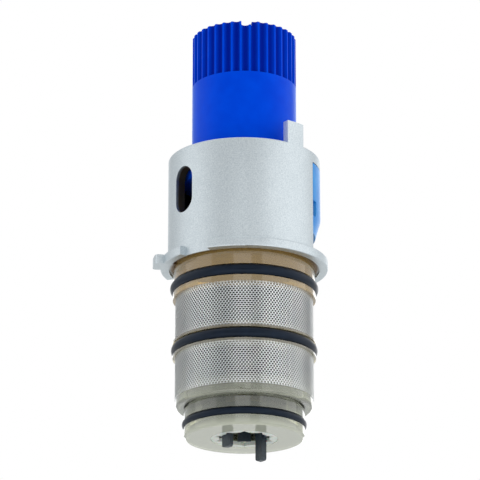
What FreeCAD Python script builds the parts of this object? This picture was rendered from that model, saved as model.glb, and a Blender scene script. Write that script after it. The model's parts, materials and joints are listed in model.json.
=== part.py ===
"""Thermostatic mixing cartridge for a shower or bath valve.

The axis of the cartridge is Z, with the handle end up. Heights are measured from
the underside of the housing flange, which rests on the valve body, so the origin
is on the axis in that plane. The front is towards -Y, and angles round the axis
are counted from the front, positive towards +X.
"""
import FreeCAD, Part
import math
import os
import re
import Sketcher

NODE_FOLDER = "parts"
FULL_TURN = 360
QUARTER_TURN = 90
CLOSE = 0.001
TURNS_PER_EDGE = 1

# Driving dimensions in millimetres and degrees
DIMENSIONS = {
    # Blue spindle with its fluted handle seat
    "knob_radius": 12.5,
    "rim_chamfer": 0.3,
    "flute_length": 12.9,
    "flute_count": 36,
    "flute_depth": 0.85,
    "ridge_width": 0.38,
    "flute_phase": 1.2,
    "notch_angle": 9.6,
    "notch_width": 2.6,
    "notch_depth": 1.0,
    "knob_rim_wall": 3.9,
    "knob_recess_depth": 4.0,
    "knob_web": 2.9,
    "screw_hole_radius": 2.1,
    "insert_wall": 1.0,
    "insert_length": 9.6,
    "insert_flange": 0.8,
    "insert_flange_reach": 1.1,
    "boss_wall": 2.1,
    "boss_gap": 3.5,
    "shaft_wall": 2.4,
    "spindle_flange_reach": 2.2,
    "spindle_flange_height": 3.2,
    "washer_thickness": 0.8,
    "turning_gap": 0.1,
    # Die-cast housing
    "spindle_room": 0.9,
    "housing_wall": 2.5,
    "top_lip": 2.2,
    "flange_overhang": 1.7,
    "flange_thickness": 2.2,
    "seat_relief": 0.5,
    "relief_gap": 0.3,
    "top_edge_round": 0.35,
    "flange_edge_round": 0.3,
    "lug_height": 5.4,
    "lug_thickness": 1.8,
    "lug_start": 34.5,
    "lug_sweep": 16,
    "flange_notch_start": -49,
    "flange_notch_sweep": 23,
    "rear_notch_start": -135,
    "rear_notch_sweep": 24.3,
    "ear_reach": 1.9,
    "ear_start": -86.8,
    "ear_sweep": 14.3,
    "ear_round": 0.9,
    "window_angle": -52.5,
    "window_width": 6.3,
    "window_rise": 8.85,
    "window_height": 11.35,
    "slot_half_width": 8.1,
    "slot_rim": 2.6,
    # Regulating nut, which slides in the housing and is driven by the spindle's thread
    "thread_gap": 0.1,
    "nut_travel": 4.5,
    "tongue_end_gap": 1.3,
    "tongue_drop": 5.4,
    "nut_height": 27.6,
    "nut_wall": 1.7,
    "nut_roof": 3.2,
    "nut_vent_radius": 2.5,
    "arm_height": 7.0,
    "arm_width": 10.2,
    "arm_gap": 0.5,
    "tongue_taper": 4.2,
    "tongue_tip_inset": 1.2,
    "tongue_trim": 4,
    "guide_gap": 0.2,
    "tongue_notch_rise": 3.4,
    "tongue_notch_height": 3.7,
    "tongue_notch_width": 1.7,
    # Overtravel spring pack inside the nut
    "circlip_rise": 1.0,
    "circlip_height": 1.2,
    "circlip_hold": 1.5,
    "circlip_groove_depth": 0.7,
    "collar_thickness": 2.0,
    "collar_gap": 0.15,
    "coil_room": 0.8,
    "overtravel_wire": 0.9,
    "overtravel_pitch": 4.2,
    "spring_end_gap": 0.15,
    "guide_room": 1.1,
    "plunger_step": 0.3,
    "plunger_guide_length": 7.0,
    "plunger_reach": 1.1,
    # Clear moulded cartridge body
    "spigot_clearance": 2.1,
    "spigot_gap": 0.1,
    "cup_wall": 2.7,
    "seal_inset": 0.6,
    "seal_step": 0.3,
    "seal_section": 2.62,
    "seal_stand": 0.75,
    "upper_seal_height": -4.7,
    "groove_gap": 0.04,
    "lip_rise": 0.1,
    "seal_lip": 1.4,
    "middle_lip": 0.5,
    "lip_shade": 0.6,
    "screen_thickness": 0.3,
    "screen_land": 1.0,
    "cold_screen_length": 10.55,
    "hot_screen_length": 10.0,
    "channel_depth": 2.05,
    "lower_lip_inset": 0.2,
    "lower_lip_height": 2.25,
    "lower_lip_round": 0.8,
    "roof_top": -1.0,
    "roof_thickness": 5.4,
    "plunger_seal_section": 1.4,
    "seal_retainer_thickness": 1.1,
    "seal_room": 0.15,
    "gallery_wall": 1.0,
    "land_depth": 1.2,
    "upper_gallery_drop": 2.05,
    "upper_gallery_rise": 2.5,
    "lower_gallery_drop": 1.8,
    "cold_chamber": 6.2,
    "cold_seat_width": 2.0,
    "port_count": 8,
    "port_width": 6.0,
    "port_margin": 0.6,
    # Screened inlets
    "mesh_columns": 24,
    "mesh_half_width": 0.95,
    "mesh_half_height": 0.7,
    "mesh_row_pitch": 1.7,
    "mesh_rim": 0.8,
    # End cap
    "cap_thread_wall": 0.6,
    "cap_crown": 2.1,
    "neck_step": 0.5,
    "neck_relief": 0.35,
    "cap_seal_drop": 3.75,
    "cap_seal_section": 1.78,
    "cap_seal_stand": 0.45,
    "bottom_drop": 3.3,
    "bottom_chamfer": 0.5,
    "hot_seat_width": 2.1,
    "ledge_width": 2.1,
    "ledge_height": 4.6,
    # Control slide
    "seat_gap": 0.6,
    "slide_length": 13.0,
    "slide_wall": 2.0,
    "slide_seal_section": 1.3,
    "slide_seal_drop": 2.1,
    "hub_reach": 0.6,
    "hub_thickness": 2.2,
    "flow_margin": 0.25,
    "spoke_count": 4,
    "spoke_sweep": 28,
    # Wax capsule
    "capsule_drop": 5.2,
    "capsule_flange_thickness": 1.6,
    "capsule_flange_reach": 1.8,
    "capsule_cup_radius": 4.4,
    "capsule_length": 14.9,
    "capsule_neck_radius": 3.4,
    "capsule_neck_length": 5.2,
    "capsule_gap": 0.2,
    "piston_radius": 1.75,
    "piston_gap": 0.1,
    "piston_length": 10.0,
    "piston_bore_depth": 10.2,
    # Return spring, outlet spider and outlet ring
    "return_wire": 0.6,
    "return_room": 1.7,
    "return_pitch": 3.1,
    "spider_gap": 0.3,
    "spider_thickness": 1.5,
    "leg_room": 2.3,
    "leg_thickness": 0.8,
    "leg_count": 4,
    "leg_sweep": 34,
    "leg_end_height": 0.8,
    "outlet_ring_web": 1.9,
    "outlet_ring_thickness": 0.9,
    "outlet_ring_inset": 0.1,
    "outlet_ring_gap": 0.05,
    "tooth_count": 10,
    "tooth_notch_half_width": 0.9,
    "tooth_notch_depth": 1.1,
    "tab_gap": 0.3,
    "tab_thickness": 1.3,
    "short_tab_angle": -52,
    "short_tab_reach": 2.6,
    "long_tab_angle": 128,
    "long_tab_reach": 4.4,
    "tab_half_sweep": 15,
    "tab_round": 0.6,
    "tab_flat": 0.1,
}

# Sizes that follow from the ones above, so that each piece keeps fitting its neighbours
FITTED = {
    # Radii of the spindle and of what turns or slides inside it
    "flute_radius": "pi * knob_radius / flute_count - ridge_width / 2",
    "knob_recess_radius": "knob_radius - knob_rim_wall",
    "insert_radius": "screw_hole_radius + insert_wall",
    "insert_flange_radius": "insert_radius + insert_flange_reach",
    "insert_boss_radius": "insert_radius + boss_wall",
    "thread_radius": "knob_radius - shaft_wall - thread_gap",
    "nut_bore": "thread_radius - nut_wall",
    "circlip_inner_radius": "nut_bore - circlip_hold",
    "overtravel_coil_radius": "nut_bore - coil_room - overtravel_wire",
    "plunger_guide_radius": "overtravel_coil_radius - overtravel_wire - guide_room",
    "plunger_radius": "plunger_guide_radius + plunger_step",
    # Radii of the housing round the spindle's flange
    "spindle_flange_radius": "knob_radius + spindle_flange_reach",
    "housing_bore": "spindle_flange_radius + spindle_room",
    "housing_radius": "housing_bore + housing_wall",
    "flange_radius": "housing_radius + flange_overhang",
    "ear_radius": "flange_radius + ear_reach",
    # Heights of the nut, of the spindle above it and of the housing round both
    "tongue_bottom": "flange_thickness + nut_travel + tongue_end_gap",
    "tongue_notch_bottom": "tongue_bottom + tongue_notch_rise",
    "nut_bottom": "tongue_bottom + tongue_drop",
    "nut_top": "nut_bottom + nut_height",
    "circlip_bottom": "nut_bottom + circlip_rise",
    "circlip_top": "circlip_bottom + circlip_height",
    "collar_bottom": "circlip_top + collar_gap",
    "collar_top": "collar_bottom + collar_thickness",
    "spindle_flange_bottom": "nut_bottom + arm_height + arm_gap",
    "spindle_flange_top": "spindle_flange_bottom + spindle_flange_height",
    "washer_top": "spindle_flange_top + washer_thickness",
    "housing_top": "washer_top + turning_gap + top_lip",
    "slot_top": "housing_top - slot_rim",
    "window_bottom": "flange_thickness + window_rise",
    "window_top": "window_bottom + window_height",
    "knob_recess_bottom": "nut_top + boss_gap + insert_length + insert_flange",
    "knob_top": "knob_recess_bottom + knob_recess_depth",
    # Radii of the clear body and its seals
    "spigot_radius": "housing_bore - spigot_gap",
    "cup_radius": "spigot_radius - cup_wall",
    "upper_seal_radius": "housing_radius - seal_inset",
    "middle_seal_radius": "upper_seal_radius - seal_step",
    "body_radius": "upper_seal_radius - seal_stand",
    "lip_radius": "body_radius + lip_rise",
    "screen_radius": "lip_radius - lip_shade",
    "screen_seat_radius": "screen_radius - screen_thickness",
    "lower_lip_radius": "screen_radius - lower_lip_inset",
    "channel_radius": "screen_radius - channel_depth",
    "gallery_radius": "channel_radius - gallery_wall",
    "slide_bore": "gallery_radius - land_depth",
    "seat_radius": "slide_bore - cold_seat_width",
    "seal_well_radius": "plunger_radius + plunger_seal_section + seal_room",
    # Heights of the clear body and its seals
    "spigot_height": "nut_bottom - nut_travel - spigot_clearance",
    "groove_half": "seal_section / 2 + groove_gap",
    "cold_screen_top": "upper_seal_height - groove_half - seal_lip",
    "cold_screen_bottom": "cold_screen_top - cold_screen_length",
    "middle_seal_height": "cold_screen_bottom - middle_lip - groove_half",
    "hot_screen_top": "middle_seal_height - groove_half - middle_lip",
    "lower_lip_top": "hot_screen_top - hot_screen_length",
    "lower_lip_bottom": "lower_lip_top - lower_lip_height",
    "retainer_bottom": "roof_top - seal_retainer_thickness",
    "seal_well_bottom": "retainer_bottom - plunger_seal_section - seal_room",
    "roof_bottom": "roof_top - roof_thickness",
    "plunger_bottom": "roof_bottom - plunger_reach",
    "cold_seat": "roof_bottom - cold_chamber",
    "upper_gallery_top": "cold_screen_top - upper_gallery_drop",
    "upper_gallery_bottom": "cold_screen_bottom + upper_gallery_rise",
    "lower_gallery_top": "hot_screen_top - lower_gallery_drop",
    # Heights of the slide and the capsule between the two seats
    "slide_top": "cold_seat - seat_gap",
    "slide_bottom": "slide_top - slide_length",
    "hot_seat": "slide_bottom - seat_gap",
    "slide_seal_height": "upper_gallery_bottom - slide_seal_drop",
    "slide_bore_radius": "slide_bore - turning_gap - slide_wall",
    "capsule_flange_radius": "capsule_cup_radius + capsule_flange_reach",
    "hub_radius": "capsule_flange_radius + hub_reach",
    "capsule_flange_top": "slide_top - capsule_drop",
    "hub_top": "capsule_flange_top - capsule_flange_thickness",
    "hub_bottom": "hub_top - hub_thickness",
    "capsule_bottom": "capsule_flange_top - capsule_length",
    "capsule_neck_top": "capsule_flange_top + capsule_neck_length",
    "piston_bore_bottom": "capsule_neck_top - piston_bore_depth",
    # End cap and what stands in its outlet
    "cap_thread_radius": "channel_radius - cap_thread_wall",
    "cap_thread_top": "hot_seat - cap_crown",
    "neck_radius": "cap_thread_radius + neck_step",
    "cap_seal_radius": "neck_radius + cap_seal_stand",
    "cap_bore": "slide_bore - hot_seat_width",
    "outlet_radius": "cap_bore - ledge_width",
    "cap_seal_height": "lower_lip_bottom - cap_seal_drop",
    "bottom_height": "cap_seal_height - bottom_drop",
    "outlet_ledge": "bottom_height + ledge_height",
    "spider_top": "outlet_ledge + spider_thickness",
    "spider_radius": "cap_bore - spider_gap",
    "return_coil_radius": "cap_bore - return_room - return_wire",
    "leg_outer_radius": "outlet_radius - leg_room",
    "leg_inner_radius": "leg_outer_radius - leg_thickness",
    "leg_bottom": "bottom_height + leg_end_height",
    "outlet_ring_bore": "outlet_radius - outlet_ring_web",
    "outlet_ring_bottom": "bottom_height + outlet_ring_inset",
    "outlet_ring_top": "outlet_ring_bottom + outlet_ring_thickness",
    "tab_outer_radius": "outlet_ring_bore - tab_gap",
    "tab_inner_radius": "tab_outer_radius - tab_thickness",
    "short_tab_bottom": "bottom_height - short_tab_reach",
    "long_tab_bottom": "bottom_height - long_tab_reach",
}

doc = FreeCAD.newDocument("ThermostaticCartridge")
sheet = doc.addObject("Spreadsheet::Sheet", "Sizes")
for row, (alias, value) in enumerate([*DIMENSIONS.items(), *FITTED.items()], start=1):
    sheet.set(f"A{row}", alias)
    sheet.set(f"B{row}", f"={value}" if alias in FITTED else str(value))
    sheet.setAlias(f"B{row}", alias)
doc.recompute()


def bound(formula):
    """Point every size name in a formula at its cell of the sheet."""
    return re.sub(r"[a-z][a-z_]*", lambda word: cell_of(word.group()), str(formula))


def cell_of(word):
    """Give the sheet's name of a size, or the word itself for a function."""
    return f"Sizes.{word}" if word in DIMENSIONS or word in FITTED else word


def number(formula):
    """Work a formula out from the sheet."""
    return float(sheet.evalExpression(bound(formula)))


def bind(target, path, formula):
    """Keep one property of an object on a formula of named sizes."""
    target.setExpression(path, bound(formula))


def new_body(label):
    """Start one piece of the cartridge."""
    body = doc.addObject("PartDesign::Body", label)
    body.Label = label
    return body


def origin_item(body, role):
    """Find one of the base planes or axes of a piece."""
    return next(item for item in body.Origin.OriginFeatures if item.Role == role)


def flat_sketch(body, name, role, turn="0", lift="0"):
    """Lay a sketch on a base plane, turned about its upright axis and lifted off it."""
    sketch = body.newObject("Sketcher::SketchObject", name)
    sketch.AttachmentSupport = [(origin_item(body, role), "")]
    sketch.MapMode = "FlatFace"
    upright = FreeCAD.Vector(0, 0, 1) if role == "XY_Plane" else FreeCAD.Vector(0, 1, 0)
    sketch.AttachmentOffset = FreeCAD.Placement(FreeCAD.Vector(), FreeCAD.Rotation(upright, number(turn)))
    bind(sketch, "AttachmentOffset.Rotation.Angle", turn)
    bind(sketch, "AttachmentOffset.Base.z", lift)
    return sketch


def constrain(sketch, kind, *places, formula):
    """Add one dimension to a sketch and keep it on its formula."""
    index = sketch.addConstraint(Sketcher.Constraint(kind, *places, number(formula)))
    bind(sketch, f"Constraints[{index}]", formula)


def add_outline(sketch, points):
    """Draw a closed outline whose corners each sit on two formulas."""
    corners = [FreeCAD.Vector(number(across), number(up), 0) for across, up in points]
    first = sketch.GeometryCount
    for start, end in zip(corners, corners[1:] + corners[:1]):
        sketch.addGeometry(Part.LineSegment(start, end))
    for step, (across, up) in enumerate(points):
        following = first + (step + 1) % len(points)
        sketch.addConstraint(Sketcher.Constraint("Coincident", first + step, 2, following, 1))
        constrain(sketch, "DistanceX", -1, 1, first + step, 1, formula=across)
        constrain(sketch, "DistanceY", -1, 1, first + step, 1, formula=up)


def add_circle(sketch, across, up, radius):
    """Draw one circle with its centre and radius on formulas."""
    centre = FreeCAD.Vector(number(across), number(up), 0)
    index = sketch.addGeometry(Part.Circle(centre, FreeCAD.Vector(0, 0, 1), number(radius)))
    constrain(sketch, "Radius", index, formula=radius)
    constrain(sketch, "DistanceX", -1, 1, index, 3, formula=across)
    constrain(sketch, "DistanceY", -1, 1, index, 3, formula=up)


def add_obround(sketch, radius, low, high):
    """Draw an upright slot with round ends, centred on the sketch's upright axis."""
    low_z = number(f"{low} + {radius}")
    high_z = number(f"{high} - ({radius})")
    size = number(radius)
    point = FreeCAD.Vector
    normal = point(0, 0, 1)
    right = sketch.addGeometry(Part.LineSegment(point(size, low_z, 0), point(size, high_z, 0)))
    top_circle = Part.Circle(point(0, high_z, 0), normal, size)
    top = sketch.addGeometry(Part.ArcOfCircle(top_circle, 0, math.pi))
    left = sketch.addGeometry(Part.LineSegment(point(-size, high_z, 0), point(-size, low_z, 0)))
    bottom_circle = Part.Circle(point(0, low_z, 0), normal, size)
    bottom = sketch.addGeometry(Part.ArcOfCircle(bottom_circle, math.pi, 2 * math.pi))
    for before, after in ((right, top), (top, left), (left, bottom), (bottom, right)):
        sketch.addConstraint(Sketcher.Constraint("Tangent", before, 2, after, 1))
    sketch.addConstraint(Sketcher.Constraint("Vertical", right))
    sketch.addConstraint(Sketcher.Constraint("PointOnObject", top, 3, -2))
    constrain(sketch, "DistanceY", -1, 1, top, 3, formula=f"{high} - ({radius})")
    constrain(sketch, "DistanceY", -1, 1, bottom, 3, formula=f"{low} + {radius}")
    constrain(sketch, "Radius", top, formula=radius)


def turned(body, name, points, kind="Revolution", start="90", sweep="360"):
    """Turn a section about the axis, or a sector of it from one angle on."""
    sketch = flat_sketch(body, f"{name}Section", "XZ_Plane", turn=f"{start} - {QUARTER_TURN}")
    add_outline(sketch, points)
    feature = body.newObject(f"PartDesign::{kind}", name)
    feature.Profile = sketch
    feature.ReferenceAxis = (sketch, ["V_Axis"])
    bind(feature, "Angle", sweep)
    body.Tip = feature
    return feature


def rectangle(left, right, low, high):
    """List the corners of an upright rectangle."""
    return [(left, low), (right, low), (right, high), (left, high)]


def pocket(body, name, sketch, length, outward=True, both_ways=False):
    """Cut a sketch away, along its normal or the other way."""
    feature = body.newObject("PartDesign::Pocket", name)
    feature.Profile = sketch
    feature.Reversed = outward
    feature.Midplane = both_ways
    bind(feature, "Length", length)
    body.Tip = feature
    return feature


def ringed(body, name, feature, count):
    """Repeat a feature round the axis."""
    pattern = body.newObject("PartDesign::PolarPattern", name)
    pattern.Originals = [feature]
    pattern.Axis = (origin_item(body, "Z_Axis"), [""])
    pattern.Angle = FULL_TURN
    bind(pattern, "Occurrences", count)
    body.Tip = pattern
    return pattern


def softened(body, name, kind, size, wanted):
    """Round or chamfer the edges that a test picks from the piece so far."""
    doc.recompute()
    base = body.Tip
    names = [f"Edge{place}" for place, edge in enumerate(base.Shape.Edges, start=1) if wanted(edge)]
    feature = body.newObject(f"PartDesign::{kind}", name)
    feature.Base = (base, names)
    bind(feature, "Radius" if kind == "Fillet" else "Size", size)
    body.Tip = feature
    return feature


def rim_at(radius, height):
    """Build a test for full or part circles of one radius at one height."""
    wanted_radius = number(radius)
    wanted_height = number(height)

    def wanted(edge):
        round_edge = isinstance(edge.Curve, Part.Circle) and abs(edge.Curve.Radius - wanted_radius) < CLOSE
        box = edge.BoundBox
        return round_edge and abs(box.ZMin - wanted_height) + abs(box.ZMax - wanted_height) < CLOSE
    return wanted


def straight_at(radius, low, high):
    """Build a test for straight edges whose ends lie at one radius and two heights."""
    wanted_radius = number(radius)
    ends = [number(low), number(high)]

    def wanted(edge):
        if not isinstance(edge.Curve, Part.Line):
            return False
        radii = [math.hypot(vertex.X, vertex.Y) for vertex in edge.Vertexes]
        heights = sorted(vertex.Z for vertex in edge.Vertexes)
        near = max(abs(radius - wanted_radius) for radius in radii) < CLOSE
        return near and max(abs(height - end) for height, end in zip(heights, ends)) < CLOSE
    return wanted


def plain_ring(label, inner, outer, low, high):
    """Turn a plain flat ring, such as a washer."""
    body = new_body(label)
    turned(body, f"{label}_ring", rectangle(inner, outer, low, high))
    return body


def o_ring(label, outer_radius, section, height):
    """Make a round-section seal from its outer radius."""
    ring = doc.addObject("Part::Torus", label)
    ring.Label = label
    bind(ring, "Radius1", f"{outer_radius} - {section} / 2")
    bind(ring, "Radius2", f"{section} / 2")
    bind(ring, "Placement.Base.z", height)
    return ring


def coil_spring(label, coil_radius, wire_radius, pitch, low, high):
    """Wind a compression spring between two heights."""
    helix = doc.addObject("Part::Helix", f"{label}_helix")
    bind(helix, "Radius", coil_radius)
    bind(helix, "Pitch", pitch)
    helix.SegmentLength = TURNS_PER_EDGE
    bind(helix, "Height", f"{high} - ({low}) - 2 * ({wire_radius})")
    section = doc.addObject("Part::Circle", f"{label}_section")
    section.Placement.Rotation = FreeCAD.Rotation(FreeCAD.Vector(1, 0, 0), QUARTER_TURN)
    bind(section, "Radius", wire_radius)
    bind(section, "Placement.Base.x", coil_radius)
    spring = doc.addObject("Part::Sweep", label)
    spring.Label = label
    spring.Sections = [section]
    spring.Spine = (helix, [])
    spring.Solid = True
    spring.Frenet = True
    bind(spring, "Placement.Base.z", f"{low} + {wire_radius}")
    return spring


def build_housing():
    """Die-cast barrel with its flange, guide slot, windows and locating lug."""
    body = new_body("housing")
    relief = "upper_seal_radius + relief_gap"
    lip_bore = "knob_radius + turning_gap"
    turned(body, "HousingBarrel", [
        (relief, "0"),
        ("flange_radius", "0"),
        ("flange_radius", "flange_thickness"),
        ("housing_radius", "flange_thickness"),
        ("housing_radius", "housing_top"),
        (lip_bore, "housing_top"),
        (lip_bore, "housing_top - top_lip"),
        ("housing_bore", "housing_top - top_lip"),
        ("housing_bore", "seat_relief"),
        (relief, "seat_relief"),
    ])
    softened(body, "TopEdge", "Fillet", "top_edge_round", rim_at("housing_radius", "housing_top"))
    lower_edge = rim_at("flange_radius", "0")
    upper_edge = rim_at("flange_radius", "flange_thickness")
    softened(body, "FlangeEdges", "Fillet", "flange_edge_round",
             lambda edge: lower_edge(edge) or upper_edge(edge))
    turned(body, "LocatingLug",
           rectangle("housing_radius - lug_thickness", "housing_radius", "housing_top - top_lip",
                     "housing_top + lug_height"),
           start="lug_start", sweep="lug_sweep")
    turned(body, "FlangeEar",
           rectangle("housing_radius - housing_wall / 2", "ear_radius", "0", "flange_thickness"),
           start="ear_start", sweep="ear_sweep")
    softened(body, "EarCorners", "Fillet", "ear_round", straight_at("ear_radius", "0", "flange_thickness"))
    cut = rectangle("housing_radius", "ear_radius", "-flange_thickness / 2", "flange_thickness")
    turned(body, "FlangeNotch", cut, kind="Groove", start="flange_notch_start", sweep="flange_notch_sweep")
    turned(body, "RearNotch", cut, kind="Groove", start="rear_notch_start", sweep="rear_notch_sweep")

    slot = flat_sketch(body, "GuideSlotSketch", "YZ_Plane", lift="knob_radius")
    add_outline(slot, rectangle("-slot_half_width", "slot_half_width", "flange_thickness", "slot_top"))
    pocket(body, "GuideSlot", slot, "housing_radius")

    window = flat_sketch(body, "WindowSketch", "XZ_Plane", turn="window_angle")
    add_obround(window, "window_width / 2", "window_bottom", "window_top")
    pocket(body, "Windows", window, "2 * flange_radius", both_ways=True)
    return body


def build_temperature_spindle():
    """Fluted handle seat with a retaining flange and an inner thread for the nut."""
    body = new_body("temperature_spindle")
    bore = "thread_radius + thread_gap"
    web_bottom = "knob_recess_bottom - knob_web"
    boss_bottom = "nut_top + boss_gap"
    turned(body, "SpindleShell", [
        (bore, "spindle_flange_bottom"),
        ("spindle_flange_radius", "spindle_flange_bottom"),
        ("spindle_flange_radius", "spindle_flange_top"),
        ("knob_radius", "spindle_flange_top"),
        ("knob_radius", "knob_top - rim_chamfer"),
        ("knob_radius - rim_chamfer", "knob_top"),
        ("knob_recess_radius", "knob_top"),
        ("knob_recess_radius", "knob_recess_bottom"),
        ("insert_flange_radius", "knob_recess_bottom"),
        ("insert_flange_radius", "knob_recess_bottom - insert_flange"),
        ("insert_radius", "knob_recess_bottom - insert_flange"),
        ("insert_radius", boss_bottom),
        ("insert_boss_radius", boss_bottom),
        ("insert_boss_radius", web_bottom),
        (bore, web_bottom),
    ])
    flute = flat_sketch(body, "FluteSketch", "XY_Plane", turn="flute_phase", lift="knob_top")
    add_circle(flute, "0", "-(knob_radius - flute_depth + flute_radius)", "flute_radius")
    cut = pocket(body, "Flute", flute, "flute_length", outward=False)
    ringed(body, "Flutes", cut, "flute_count")
    notch = flat_sketch(body, "IndexNotchSketch", "XZ_Plane", turn="notch_angle", lift="knob_recess_radius")
    add_outline(notch, rectangle("-notch_width / 2", "notch_width / 2", "knob_top - notch_depth",
                                 "knob_top + notch_depth"))
    pocket(body, "IndexNotch", notch, "knob_radius - knob_recess_radius + flute_depth")
    return body


def build_handle_insert():
    """Brass bush that takes the handle's screw."""
    body = new_body("handle_insert")
    turned(body, "InsertBush", [
        ("screw_hole_radius", "nut_top + boss_gap"),
        ("insert_radius", "nut_top + boss_gap"),
        ("insert_radius", "knob_recess_bottom - insert_flange"),
        ("insert_flange_radius", "knob_recess_bottom - insert_flange"),
        ("insert_flange_radius", "knob_recess_bottom"),
        ("screw_hole_radius", "knob_recess_bottom"),
    ])
    return body


def build_regulating_nut():
    """Threaded nut with one guide tongue that runs in the housing slot."""
    body = new_body("regulating_nut")
    turned(body, "NutBarrel", [
        ("nut_bore", "nut_bottom"),
        ("thread_radius", "nut_bottom"),
        ("thread_radius", "nut_top"),
        ("nut_vent_radius", "nut_top"),
        ("nut_vent_radius", "nut_top - nut_roof"),
        ("nut_bore", "nut_top - nut_roof"),
    ])
    arm = flat_sketch(body, "ArmSketch", "YZ_Plane", lift="thread_radius - nut_wall / 2")
    add_outline(arm, rectangle("-arm_width / 2", "arm_width / 2", "nut_bottom", "nut_bottom + arm_height"))
    web = body.newObject("PartDesign::Pad", "Arm")
    web.Profile = arm
    bind(web, "Length", "housing_radius - housing_wall / 2 - thread_radius + nut_wall / 2")
    body.Tip = web

    half = "slot_half_width - guide_gap"
    half_sweep = "(asin(slot_half_width / housing_bore) / 1 deg + tongue_trim)"
    inner = "spigot_radius + guide_gap"
    turned(body, "Tongue", [
        (inner, "tongue_bottom"),
        ("housing_radius - tongue_tip_inset", "tongue_bottom"),
        ("housing_radius", "tongue_bottom + tongue_taper"),
        ("housing_radius", "slot_top - guide_gap"),
        (inner, "slot_top - guide_gap"),
    ], start=f"{QUARTER_TURN} - {half_sweep}", sweep=f"2 * {half_sweep}")
    trim = flat_sketch(body, "TongueSideSketch", "YZ_Plane", lift="thread_radius + nut_wall / 2")
    for sign in ("-", ""):
        add_outline(trim, rectangle(f"{sign}({half})", f"{sign}housing_radius", "0", "housing_top"))
    pocket(body, "TongueSides", trim, "housing_radius")
    notch = flat_sketch(body, "TongueNotchSketch", "YZ_Plane", lift="thread_radius + nut_wall / 2")
    for sign in ("-", ""):
        notch_edge = f"{sign}({half} - tongue_notch_width)"
        add_outline(notch, rectangle(notch_edge, f"{sign}housing_radius", "tongue_notch_bottom",
                                     "tongue_notch_bottom + tongue_notch_height"))
    pocket(body, "TongueNotches", notch, "housing_radius")

    turned(body, "CirclipGroove",
           rectangle("nut_bore - circlip_groove_depth / 2", "nut_bore + circlip_groove_depth",
                     "circlip_bottom", "circlip_top"), kind="Groove")
    return body


def build_overtravel_plunger():
    """Pushes the wax capsule's piston and gives way against its spring."""
    body = new_body("overtravel_plunger")
    turned(body, "PlungerBody", [
        ("0", "plunger_bottom"),
        ("plunger_radius", "plunger_bottom"),
        ("plunger_radius", "collar_bottom"),
        ("nut_bore - guide_gap", "collar_bottom"),
        ("nut_bore - guide_gap", "collar_top"),
        ("plunger_guide_radius", "collar_top"),
        ("plunger_guide_radius", "collar_top + plunger_guide_length"),
        ("0", "collar_top + plunger_guide_length"),
    ])
    return body


def build_cartridge_body():
    """Clear moulded body with the seal grooves, screen seats, galleries and cold seat."""
    body = new_body("cartridge_body")
    upper_groove = "upper_seal_radius - seal_section - groove_gap"
    middle_groove = "middle_seal_radius - seal_section - groove_gap"
    turned(body, "BodyShell", [
        ("cup_radius", "spigot_height"),
        ("spigot_radius", "spigot_height"),
        ("spigot_radius", "seat_relief"),
        ("body_radius", "seat_relief"),
        ("body_radius", "upper_seal_height + groove_half"),
        (upper_groove, "upper_seal_height + groove_half"),
        (upper_groove, "upper_seal_height - groove_half"),
        ("lip_radius", "upper_seal_height - groove_half"),
        ("lip_radius", "cold_screen_top"),
        ("screen_seat_radius", "cold_screen_top"),
        ("screen_seat_radius", "cold_screen_top - screen_land"),
        ("channel_radius", "cold_screen_top - screen_land"),
        ("channel_radius", "cold_screen_bottom + screen_land"),
        ("screen_seat_radius", "cold_screen_bottom + screen_land"),
        ("screen_seat_radius", "cold_screen_bottom"),
        ("lip_radius", "cold_screen_bottom"),
        ("lip_radius", "middle_seal_height + groove_half"),
        (middle_groove, "middle_seal_height + groove_half"),
        (middle_groove, "middle_seal_height - groove_half"),
        ("lip_radius", "middle_seal_height - groove_half"),
        ("lip_radius", "hot_screen_top"),
        ("screen_seat_radius", "hot_screen_top"),
        ("screen_seat_radius", "hot_screen_top - screen_land"),
        ("channel_radius", "hot_screen_top - screen_land"),
        ("channel_radius", "lower_lip_top + screen_land"),
        ("screen_seat_radius", "lower_lip_top + screen_land"),
        ("screen_seat_radius", "lower_lip_top"),
        ("lower_lip_radius", "lower_lip_top"),
        ("lower_lip_radius", "lower_lip_bottom"),
        ("cap_thread_radius", "lower_lip_bottom"),
        ("cap_thread_radius", "cap_thread_top"),
        ("gallery_radius", "cap_thread_top"),
        ("gallery_radius", "lower_gallery_top"),
        ("slide_bore", "lower_gallery_top"),
        ("slide_bore", "upper_gallery_bottom"),
        ("gallery_radius", "upper_gallery_bottom"),
        ("gallery_radius", "upper_gallery_top"),
        ("slide_bore - guide_gap", "upper_gallery_top"),
        ("slide_bore - guide_gap", "cold_seat"),
        ("seat_radius", "cold_seat"),
        ("seat_radius", "roof_bottom"),
        ("plunger_radius + turning_gap", "roof_bottom"),
        ("plunger_radius + turning_gap", "seal_well_bottom"),
        ("seal_well_radius", "seal_well_bottom"),
        ("seal_well_radius", "roof_top"),
        ("cup_radius", "roof_top"),
    ])
    softened(body, "LowerLipEdge", "Fillet", "lower_lip_round",
             rim_at("lower_lip_radius", "lower_lip_bottom"))
    for name, low, high in (("ColdPort", "upper_gallery_bottom", "upper_gallery_top"),
                            ("HotPort", "cap_thread_top", "lower_gallery_top")):
        port = flat_sketch(body, f"{name}Sketch", "XZ_Plane", lift="(slide_bore + gallery_radius) / 2")
        add_outline(port, rectangle("-port_width / 2", "port_width / 2", f"{low} + port_margin",
                                    f"{high} - port_margin"))
        ringed(body, f"{name}s", pocket(body, name, port, "port_width"), "port_count")
    return body


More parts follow.
